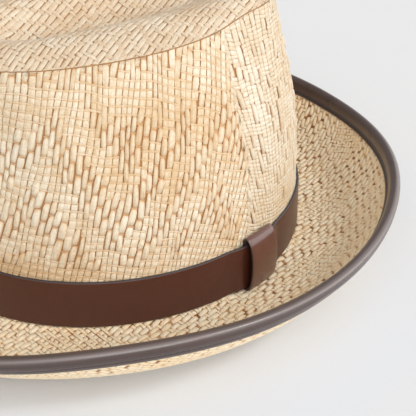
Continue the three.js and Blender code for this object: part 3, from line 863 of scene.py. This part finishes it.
def shell_object(name, outer, inner, material, stands_for, close_top):
    """A closed wall from two grids of points, rows from the foot up and columns round."""
    rows, columns = outer.shape[:2]
    points = np.concatenate([outer.reshape(-1, 3), inner.reshape(-1, 3)])
    quads = [grid_quads(rows, columns, close_columns=True), grid_quads(rows, columns, close_columns=True,
                                                                       base=rows * columns, flip=True)]
    c = np.arange(columns)
    c2 = (c + 1) % columns
    base = rows * columns
    quads.append(np.stack([c, base + c, base + c2, c2], -1))
    if not close_top:
        t = (rows - 1) * columns
        quads.append(np.stack([t + c, t + c2, base + t + c2, base + t + c], -1))
    quads = np.concatenate(quads)
    n = len(points)
    # deep is 1 all over: the core takes its painted shade colours everywhere
    return make_object(name, points, quads, material, uv=points[:, :2], stands_for=stands_for,
                       fields={"deep": np.full(n, 1.0), "tone": np.full(n, 0.6)})


def grid_normals(p, close_columns=True):
    """Unit normals of a grid of points, rows up and columns round, outward for a wall."""
    across = np.roll(p, -1, axis=1) - np.roll(p, 1, axis=1)
    up = np.gradient(p, axis=0)
    n = np.cross(across, up)
    n /= np.maximum(np.linalg.norm(n, axis=-1, keepdims=True), 1e-9)
    return n


def crown_core():
    phis = np.arange(0, 360, 2.0)
    sides = wall(phis[None, :], np.linspace(0.0, 1.0, 34)[:, None])
    tops = crown_top(phis[None, :], np.concatenate([np.linspace(1, CREST_AT, 10)[1:], np.linspace(CREST_AT, 0, 26)[1:]])[:, None])
    p = np.concatenate([sides, tops])
    n = grid_normals(p)
    n[-1] = [0, 0, 1]
    n[:34] = grid_normals(sides)
    outer, inner = p - 0.55 * n, p - 1.25 * n
    inner[34:] = p[34:] - 0.95 * n[34:]
    outer[0, :, 2] = inner[0, :, 2] = BAND_FOOT
    return shell_object("crown_core", outer, inner, CROWN_CORE, ["straw_crown"], True)


def brim_core():
    phis = np.arange(0, 360, 2.5)
    length = brim_shape(phis)[3]
    t = np.linspace(0, 1, 30)[:, None]
    along = -STRAW + (length[None, :] + STRAW - 0.3) * t
    upper = brim_point(phis[None, :], along, -0.55)
    lower = brim_point(phis[None, :], along, -1.3, swell=False)
    return shell_object("brim_core", lower, upper, BRIM_CORE, ["straw_brim"], False)


# core colours are painted shade: the straw seen down between the strands, darkened and warmed
CROWN_CORE = straw_material("crown_straw_core", (0.58, 0.33, 0.135), (0.48, 0.245, 0.085), (0.45, 0.22, 0.075),
                            (0.45, 0.22, 0.075))
BRIM_CORE = straw_material("brim_straw_core", (0.54, 0.30, 0.12), (0.44, 0.22, 0.08), (0.40, 0.19, 0.065),
                           (0.40, 0.19, 0.065))

for index, weave in enumerate(weave_side()):
    weave.object("crown_side_weave_%d" % (index + 1), PLAIN_STRAW if SECTORS[index][4] else CROWN_STRAW, "crown_straw")
for index, weave in enumerate(weave_side(inner=True)):
    weave.object("crown_inner_side_weave_%d" % (index + 1), CROWN_STRAW, "crown_straw")
weave_top().object("crown_top_weave", TOP_STRAW, "crown_straw")
weave_top(inner=True).object("crown_inner_top_weave", TOP_STRAW, "crown_straw")
weave_brim().object("brim_upper_weave", BRIM_STRAW, "brim_straw")
weave_brim(under=True).object("brim_under_weave", BRIM_STRAW, "brim_straw")
crown_core()
brim_core()

# ------------------------------------------------------------------ leather


def ring_object(name, sections, fields, material, stands_for, uv_scale=1.0):
    """sections: columns round by points of one closed section, its points anticlockwise with out to the right."""
    columns, m = sections.shape[:2]
    i = np.arange(columns)[:, None]
    k = np.arange(m)[None, :]
    j, l = (i + 1) % columns, (k + 1) % m
    quads = np.stack(np.broadcast_arrays(i * m + k, j * m + k, j * m + l, i * m + l), -1).reshape(-1, 4)
    points = sections.reshape(-1, 3)
    return make_object(name, points, quads, material, uv=points[:, :2] * uv_scale,
                       fields={key: np.broadcast_to(v, (columns, m)).reshape(-1) for key, v in fields.items()},
                       stands_for=stands_for)


def hat_band():
    phis = np.sort(np.concatenate([np.arange(0, 360, 1.5), np.arange(KEEPER_PHI - 12, KEEPER_PHI + 12, 0.5) + 0.01]))
    lift = GAP + (LEATHER_KEEPER + GAP) * keeper_near(phis)
    r = 0.42
    # section in (out, up): up the outside from the foot, over the rounded top edge, and down the inside
    outline = []
    edge_paint_and_highlight = []
    for d in (-90, -60, -30, 0):
        outline.append((LEATHER_BAND - r + r * math.cos(math.radians(d)), r + r * math.sin(math.radians(d))))
        edge_paint_and_highlight.append(1.0 if d < -30 else 0.0)
    for s in np.linspace(0.06, 0.94, 9):
        outline.append((LEATHER_BAND, s * BAND_HEIGHT))
        edge_paint_and_highlight.append(0.0)
    for d in (0, 30, 60, 90):
        outline.append((LEATHER_BAND - r + r * math.cos(math.radians(d)), BAND_HEIGHT - r + r * math.sin(math.radians(d))))
        edge_paint_and_highlight.append(1.0 if d > 30 else 0.0)
    outline.append((0.15, BAND_HEIGHT))
    outline.append((0.0, BAND_HEIGHT - 0.15))
    edge_paint_and_highlight += [1.0, 0.6]
    for s in np.linspace(0.94, 0.06, 6):
        outline.append((0.0, s * BAND_HEIGHT))
        edge_paint_and_highlight.append(0.0)
    outline.append((0.0, 0.15))
    outline.append((0.15, 0.0))
    edge_paint_and_highlight += [0.6, 1.0]
    outline = np.array(outline)
    nx, ny = outward(phis, HEAD_FRONT_BACK, HEAD_SIDE)
    up = outline[:, 1]
    on_wall = wall(phis[:, None], (up / CREASE_UP)[None, :])
    out = lift[:, None] + outline[:, 0][None, :]
    sections = np.stack([on_wall[..., 0] + nx[:, None] * out, on_wall[..., 1] + ny[:, None] * out,
                         np.broadcast_to(BAND_FOOT + up, on_wall.shape[:2])], -1)
    return ring_object("hat_band_leather", sections, {"edge_paint_and_highlight": np.array(edge_paint_and_highlight)[None, :]}, BAND_LEATHER,
                       ["hat_band"])


def loop_line(steps):
    """The keeper's closed middle line: a centripetal spline through its points, evenly spaced."""
    p = np.array(KEEPER_LOOP)
    n = len(p)
    fine = []
    for i in range(n):
        p0, p1, p2, p3 = p[(i - 1) % n], p[i], p[(i + 1) % n], p[(i + 2) % n]
        d0, d1, d2 = (max(np.linalg.norm(b - a) ** 0.5, 1e-4) for a, b in ((p0, p1), (p1, p2), (p2, p3)))
        t1 = ((p1 - p0) / d0 - (p2 - p0) / (d0 + d1) + (p2 - p1) / d1) * d1
        t2 = ((p2 - p1) / d1 - (p3 - p1) / (d1 + d2) + (p3 - p2) / d2) * d1
        for t in np.linspace(0, 1, 24, endpoint=False):
            fine.append((2 * t**3 - 3 * t**2 + 1) * p1 + (t**3 - 2 * t**2 + t) * t1
                        + (3 * t**2 - 2 * t**3) * p2 + (t**3 - t**2) * t2)
    fine = np.array(fine + [fine[0]])
    arc = np.concatenate([[0], np.cumsum(np.linalg.norm(np.diff(fine, axis=0), axis=1))])
    s = np.linspace(0, arc[-1], steps, endpoint=False)
    return np.stack([np.interp(s, arc, fine[:, 0]), np.interp(s, arc, fine[:, 1])], -1)


def band_keeper():
    steps = 120
    line = loop_line(steps)
    # the outer leg bows softly off the band
    low, high = line.min(axis=0), line.max(axis=0)
    outer = np.clip(((line[:, 0] - low[0]) / (high[0] - low[0]) - 0.35) / 0.5, 0, 1)
    rise = (line[:, 1] - low[1]) / (high[1] - low[1])
    line[:, 0] += 1.5 * outer * np.sin(np.pi * rise) ** 0.8
    tangent = np.roll(line, -1, axis=0) - np.roll(line, 1, axis=0)
    tangent /= np.linalg.norm(tangent, axis=1, keepdims=True)
    side = np.stack([tangent[:, 1], -tangent[:, 0]], -1)
    half = LEATHER_KEEPER / 2
    r = 0.32
    # a section of the strap: across its width (degrees of phi) and through its leather
    mm_per_degree = 1.62
    width = KEEPER_HALF_PHI * mm_per_degree
    shape = []
    corner = [(-90, 0), (0, 90), (90, 180), (180, 270)]
    centres = [(width - r, -(half - r)), (width - r, half - r), (-(width - r), half - r), (-(width - r), -(half - r))]
    edge_paint_and_highlight = []
    for (a0, a1), (cx, cy) in zip(corner, centres):
        for a in np.linspace(a0, a1, 4):
            shape.append((cx + r * math.cos(math.radians(a)), cy + r * math.sin(math.radians(a))))
            edge_paint_and_highlight.append(1.0 if abs(shape[-1][0]) > width - 0.6 * r else 0.0)
        if a1 in (90, 270):
            sign = -1 if a1 == 90 else 1
            for f in np.linspace(0, 1, 9)[1:-1]:
                shape.append((sign * (-(width - r) + 2 * (width - r) * f), half if a1 == 90 else -half))
                edge_paint_and_highlight.append(0.0)
    shape = np.array(shape)
    m = len(shape)
    phi = KEEPER_PHI + shape[:, 0] / mm_per_degree
    nx, ny = outward(phi, HEAD_FRONT_BACK, HEAD_SIDE)
    sections = []
    for k in range(steps):
        q = line[k][None, :] + side[k][None, :] * shape[:, 1][:, None]
        on_wall = wall(phi, np.clip((q[:, 1] - BAND_FOOT) / CREASE_UP, 0, BAND_HEIGHT / CREASE_UP))
        sections.append(np.stack([on_wall[:, 0] + nx * q[:, 0], on_wall[:, 1] + ny * q[:, 0], q[:, 1]], -1))
    sections = np.array(sections)
    i = np.arange(steps)[:, None]
    k = np.arange(m)[None, :]
    j, l = (i + 1) % steps, (k + 1) % m
    quads = np.stack(np.broadcast_arrays(i * m + k, j * m + k, j * m + l, i * m + l), -1).reshape(-1, 4)
    points = sections.reshape(-1, 3)
    # faces look outward: the middle of a closed ring of leather lies inside its skin
    a, b, c, d = (points[quads[:, n]] for n in range(4))
    volume = np.einsum("ij,ij->i", a, np.cross(b, c)).sum() + np.einsum("ij,ij->i", a, np.cross(c, d)).sum()
    if volume < 0:
        quads = quads[:, ::-1]
    return make_object("band_keeper_leather", points, quads, KEEPER_LEATHER, uv=points[:, :2],
                       fields={"edge_paint_and_highlight": np.tile(np.array(edge_paint_and_highlight), steps)}, stands_for=["band_keeper"])


UPPER_SEAM, UNDER_SEAM = 1.35, 3.0      # from the binding's free edge to its stitches, on its upper and its under face


def binding_profile():
    """Section of the binding in (back from the rim along the straw, above its upper side), anticlockwise, with marks
    for its edge colour: a paler free edge, and a painted highlight along the crest of the roll.
    """
    skin_out = -STRAW - GAP - LEATHER_BINDING
    skin_in = GAP + LEATHER_BINDING
    w = BINDING_WIDTH

    def under_face(b):
        """Height of the under face over its plain level, b from the free edge: a flange, a ridge, and a swell to the rim."""
        groove = 0.30 * math.exp(-((b - UNDER_SEAM) / 0.55) ** 2)
        lip = 0.42 * max(0.0, 1 - b / 0.45) ** 2
        climb = min(max((b - UNDER_SEAM - 0.35) / 1.15, 0), 1)
        swell = 0.85 * climb * climb * (3 - 2 * climb) * (1 - 0.45 * min(max((b - 4.5) / 2.9, 0), 1) ** 2)
        return swell - groove - lip - 0.10

    def face(b):
        """The same of the upper face."""
        groove = 0.34 * math.exp(-((b - UPPER_SEAM) / 0.5) ** 2)
        lip = 0.36 * max(0.0, 1 - b / 0.3) ** 2
        ridge = 0.30 * math.exp(-((b - 2.25) / 0.27) ** 2)
        dip = 0.16 * math.exp(-((b - 2.85) / 0.3) ** 2)
        roll = 0.55 * math.sin(min(max((b - 2.7) / 4.2, 0), 1) * math.pi / 2) - 0.12
        return roll + ridge - groove - lip - dip

    stations = [0.0, 0.12, 0.28, 0.5, 0.8, 1.05, 1.25, 1.45, 1.7, 1.92, 2.1, 2.25, 2.4, 2.58, 2.85, 3.2, 3.8, 4.6, 5.5, 6.3]
    points, marks = [], []
    for b in (0.0, 0.12, 0.3, 0.6, 1.2, 1.8, 2.3, 2.6, 2.8, 3.0, 3.2, 3.4, 3.65, 3.9, 4.15, 4.4, 4.7, 5.1, 5.6, 6.1, 6.6):
        points.append((w - b, skin_out - under_face(b)))
        marks.append(2.0 if b > 0.2 else 0.9)
    middle, radius = -STRAW / 2, (skin_in - skin_out) / 2 + 0.30
    for d in np.linspace(-90, 90, 13):
        # a little square toward the under face, round toward the upper one
        deep = (skin_in - skin_out) / 2 + (0.40 if d > 0 else 0.36)
        power = 1.0 if d > 0 else 0.8
        c, q = math.cos(math.radians(d)), math.sin(math.radians(d))
        points.append((-radius * max(c, 0.0) ** power, middle + deep * math.copysign(abs(q) ** power, q)))
        # a paler crest on the roll, around 32 degrees toward the under face: a painted highlight
        marks.append(10.0 + 0.60 * math.exp(-((d + 32) / 24) ** 2))
    for b in reversed(stations):
        points.append((w - b, skin_in + face(b)))
        marks.append(b + 2.0)
    for b in (0.1, 2.0, 5.0):
        points.append((w - b, GAP))
        marks.append(7.5)
    for d in (60, 20, -20, -60):
        points.append((-(STRAW / 2 + GAP) * math.cos(math.radians(d)), middle + (STRAW / 2 + GAP) * math.sin(math.radians(d))))
        marks.append(7.5)
    for b in (5.0, 2.0, 0.1):
        points.append((w - b, -STRAW - GAP))
        marks.append(7.5)
    return np.array(points), np.array(marks)


def brim_binding():
    phis = np.arange(0, 360, 1.0)
    shape, marks = binding_profile()
    length = brim_shape(phis)[3]
    sections = brim_point(phis[:, None], length[:, None] - shape[None, :, 0], shape[None, :, 1], swell=False)
    # paler at the free edge, and a painted highlight along the crest of the roll
    edge_paint_and_highlight = np.where(marks < 1.1, 0.8, np.where(marks >= 10, marks - 10, 0.0))
    ring_object("brim_binding_leather", sections, {"edge_paint_and_highlight": edge_paint_and_highlight[None, :]}, BINDING_LEATHER,
                ["brim_binding"])
    # stitches in the groove, on both faces
    skin_out = -STRAW - GAP - LEATHER_BINDING
    skin_in = GAP + LEATHER_BINDING
    fine = np.linspace(0, 360, 7201)
    fine_length = brim_shape(fine)[3]
    points, quads, uv, count = [], [], [], 0
    for seam, above, sign in ((UPPER_SEAM, skin_in - 0.40, 1), (UNDER_SEAM, skin_out + 0.34, -1)):
        line = brim_point(fine, fine_length - (BINDING_WIDTH - seam), above, swell=False)
        over = brim_point(fine, fine_length - (BINDING_WIDTH - seam), above + sign, swell=False) - line
        arc = np.concatenate([[0], np.cumsum(np.linalg.norm(np.diff(line, axis=0), axis=1))])
        pitch = arc[-1] / round(arc[-1] / 2.5)
        starts = np.arange(0, arc[-1] - 0.5 * pitch, pitch)
        t = np.linspace(0, 1, 6)
        s = starts[:, None] + 0.4 + (pitch - 0.8) * t[None, :]
        centre = np.stack([np.interp(s, arc, line[:, k]) for k in range(3)], -1)
        lift = np.stack([np.interp(s, arc, over[:, k]) for k in range(3)], -1)
        lift /= np.linalg.norm(lift, axis=-1, keepdims=True)
        ahead = np.gradient(centre, axis=1)
        ahead /= np.linalg.norm(ahead, axis=-1, keepdims=True)
        beside = np.cross(ahead, lift)
        bow = (0.16 * np.sin(np.pi * t) - 0.10)[None, :, None]
        radius = 0.36 * np.array([0.35, 0.9, 1.0, 1.0, 0.9, 0.35])[None, :, None]
        ring = []
        for d in range(0, 360, 60):
            ring.append(centre + lift * bow + (beside * math.cos(math.radians(d)) + lift * math.sin(math.radians(d))) * radius)
        ring = np.stack(ring, 2)                      # stitch, station, round, xyz
        n, st, m = ring.shape[:3]
        ids = np.arange(st * m).reshape(st, m)
        cell = np.stack([ids[:-1], np.roll(ids, -1, 1)[:-1], np.roll(ids, -1, 1)[1:], ids[1:]], -1).reshape(-1, 4)
        cap = [[0, 5, 4, 3], [0, 3, 2, 1], [30, 31, 32, 33], [30, 33, 34, 35]]
        cell = np.concatenate([cell, cap])
        all_points = ring.reshape(n, -1, 3)
        a, b, c, d = (all_points[0][cell[:, k]] for k in range(4))
        middle = all_points[0].mean(0)
        volume = (np.einsum("ij,ij->i", a - middle, np.cross(b - middle, c - middle))
                  + np.einsum("ij,ij->i", a - middle, np.cross(c - middle, d - middle))).sum()
        if volume < 0:
            cell = cell[:, ::-1]
        quads.append((count + np.arange(n)[:, None, None] * (st * m) + cell[None]).reshape(-1, 4))
        points.append(all_points.reshape(-1, 3))
        along = np.broadcast_to(s[:, :, None], (n, st, m))
        round_ = np.broadcast_to(np.arange(m)[None, None, :] / 2.0, (n, st, m))
        uv.append(np.stack([along, round_], -1).reshape(-1, 2))
        count += n * st * m
    make_object("binding_stitches", np.concatenate(points), np.concatenate(quads), THREAD,
                uv=np.concatenate(uv))


hat_band()
band_keeper()
brim_binding()

# ------------------------------------------------------------------ floor, lights and camera


def floor():
    m, tree, shader = nodes_of("floor_paper")
    b = Build(tree)
    speck = b.noise(b.place((1.0, 1.0, 1.0)), 700.0, 2.0, 0.5)
    reach = b.node("ShaderNodeVectorMath", operation="LENGTH")
    tree.links.new(b.place((1.0, 1.0, 1.0)), reach.inputs[0])
    # bluer near the hat: a painted cool tint that cancels the warm light bounced off the straw onto the floor
    cool_bounce_tint = b.mix(b.spread(reach.outputs["Value"], 0.145, 0.20), (0.696, 0.724, 0.761), (0.711, 0.711, 0.711))
    colour = b.mix(b.spread(speck, 0.3, 0.7, 0.0, 0.06), cool_bounce_tint, (0.9, 0.9, 0.9))
    tree.links.new(colour, shader.inputs["Base Color"])
    shader.inputs["Roughness"].default_value = 0.9
    shader.inputs["Specular IOR Level"].default_value = 0.1
    me = bpy.data.meshes.new("floor")
    s = 6.0
    me.from_pydata([(-s, -s, 0), (s, -s, 0), (s, s, 0), (-s, s, 0)], [], [(0, 1, 2, 3)])
    me.materials.append(m)
    ob = bpy.data.objects.new("floor", me)
    ob.location = (0, 0, -0.00002)
    bpy.context.scene.collection.objects.link(ob)


floor()

world_light = bpy.data.worlds.new("studio")
bpy.context.scene.world = world_light
world_light.use_nodes = True
background = world_light.node_tree.nodes["Background"]
background.inputs["Color"].default_value = (1.0, 1.0, 1.0, 1.0)
background.inputs["Strength"].default_value = 0.47


def sun(name, toward, strength, angle, colour=(1, 1, 1)):
    light = bpy.data.lights.new(name, "SUN")
    light.energy = strength
    light.angle = math.radians(angle)
    light.color = colour
    ob = bpy.data.objects.new(name, light)
    ob.rotation_euler = Vector(toward).normalized().to_track_quat("Z", "Y").to_euler()
    bpy.context.scene.collection.objects.link(ob)
    return ob


# camera fitted to the band's two edges, the crease and the rim
AZIMUTH, ELEVATION, DISTANCE, FOCUS = math.radians(58.0), math.radians(34.478), 550.0, 1027.62
YAW, PITCH, ROLL = math.radians(-5.967), math.radians(0.69), math.radians(3.831)
back = np.array([math.sin(AZIMUTH) * math.cos(ELEVATION), -math.cos(AZIMUTH) * math.cos(ELEVATION), math.sin(ELEVATION)])
right = np.array([math.cos(AZIMUTH), math.sin(AZIMUTH), 0.0])
up = np.cross(back, right)
eye = back * DISTANCE


def turn_level(v, t):
    c, s = math.cos(t), math.sin(t)
    return np.array([c * v[0] - s * v[1], s * v[0] + c * v[1], v[2]])


back, right, up = (turn_level(v, YAW) for v in (back, right, up))
back, up = back * math.cos(PITCH) - up * math.sin(PITCH), up * math.cos(PITCH) + back * math.sin(PITCH)
right, up = right * math.cos(ROLL) + up * math.sin(ROLL), up * math.cos(ROLL) - right * math.sin(ROLL)
eye = (eye + [0.0, CENTRE_SHIFT_Y, BAND_FOOT]) * 0.001

camera_data = bpy.data.cameras.new("camera")
camera_data.sensor_width = 36.0
camera_data.lens = FOCUS * 36.0 / 416.0
camera_data.clip_start, camera_data.clip_end = 0.01, 50.0
camera = bpy.data.objects.new("camera", camera_data)
m = Matrix.Identity(4)
for r in range(3):
    m[r][0], m[r][1], m[r][2], m[r][3] = right[r], up[r], back[r], eye[r]
camera.matrix_world = m
bpy.context.scene.collection.objects.link(camera)
bpy.context.scene.camera = camera

level_right = np.array([right[0], right[1], 0.0])
level_right /= np.linalg.norm(level_right)
level_back = np.array([back[0], back[1], 0.0])
level_back /= np.linalg.norm(level_back)


def from_camera(turn, rise):
    """Toward a light: turned from the camera's side to its right, and up from level, in degrees."""
    level = level_right * math.sin(math.radians(turn)) + level_back * math.cos(math.radians(turn))
    return level * math.cos(math.radians(rise)) + np.array([0.0, 0.0, math.sin(math.radians(rise))])


sun("key", from_camera(75, 50), 0.80, 12.0, (1.0, 0.997, 0.99))
sun("sheen", from_camera(42, 34), 0.22, 10.0)
sun("front", from_camera(20, 25), 1.29, 40.0)
sun("left", from_camera(-20, 50), 0.58, 50.0)
sun("rim", from_camera(96, 16), 0.90, 45.0)
sun("back", from_camera(140, 25), 0.40, 40.0)

bpy.context.scene.view_settings.view_transform = "Standard"
bpy.context.scene.view_settings.look = "None"
